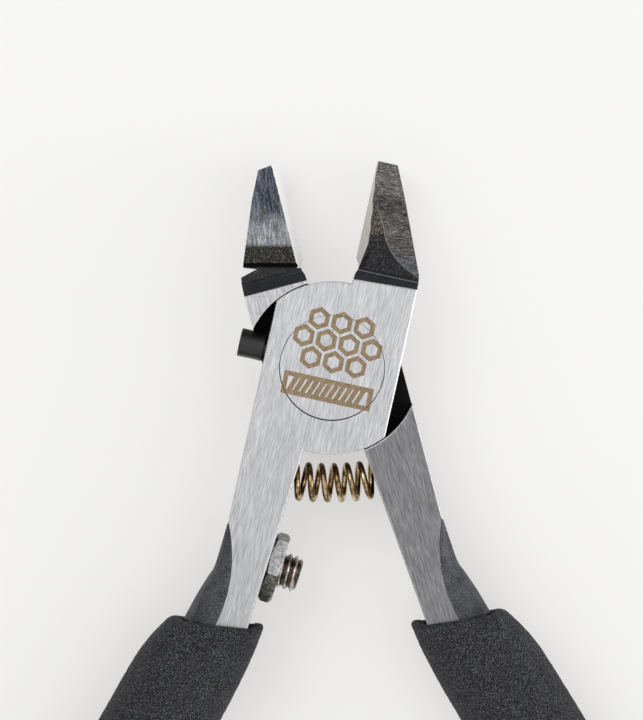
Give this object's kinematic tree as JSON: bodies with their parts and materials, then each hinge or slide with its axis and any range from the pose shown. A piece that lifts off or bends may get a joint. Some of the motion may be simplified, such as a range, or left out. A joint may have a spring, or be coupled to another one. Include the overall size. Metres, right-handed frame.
{
  "type": "sprue nippers",
  "caption": "Hand nippers that snip plastic parts off their sprues: lap-jointed levers on a flush rivet, sprung open, with an adjustable closing stop and foam grips.",
  "frame": {"origin": "on the pivot axis at the ground back face of the head", "axes": "+Z along the pivot, from the back face to the front face; +Y to the jaws; +X to the front lever's jaw"},
  "size_m": [0.0925, 0.1148, 0.0126],
  "materials": {
    "front_lever_steel": "ground and brushed along the lever, with black forged recesses and flanks",
    "back_lever_steel": "ground and brushed along the lever, with a polished jaw and black forged recesses and flanks",
    "rivet_steel": "ground flush and brushed",
    "pin_steel": "bright dowel steel",
    "sleeve_black": "semi-gloss black tube",
    "screw_steel": "threaded steel, slightly browned",
    "nut_zinc": "zinc plated, with rough-cut flats",
    "grip_foam": "charcoal foam with fine open pores",
    "spring_wire": "bronze-coloured bright wire"
  },
  "bodies": {
    "front": {"front_lever": "front_lever_steel", "pivot_rivet": "rivet_steel", "stop_pin": "pin_steel", "stop_sleeve": "sleeve_black", "left_grip": "grip_foam", "return_spring": "spring_wire"},
    "back": {"back_lever": "back_lever_steel", "right_grip": "grip_foam"},
    "stop_screw": {"stop_screw": "screw_steel"},
    "lock_nut": {"lock_nut": "nut_zinc"}
  },
  "joints": [
    {"name": "lever_pivot", "type": "hinge", "parent": "front", "child": "back", "pos_m": [0, 0, 0], "axis": [0, 0, -1], "range_deg": [0, 27.2], "stiffness_Nm_per_rad": 0.6, "springref_deg": -5.73, "deforming": ["return_spring"]},
    {"name": "stop_screw_feed", "type": "slide", "parent": "front", "child": "stop_screw", "axis": [0.9542, -0.299, 0], "range_m": [-0.0015, 0.0005]},
    {"name": "lock_nut_turn", "type": "hinge", "parent": "front", "child": "lock_nut", "pos_m": [-0.00693, -0.02121, 0.0042], "axis": [0.9542, -0.299, 0], "range_deg": [0, 180]}
  ]
}
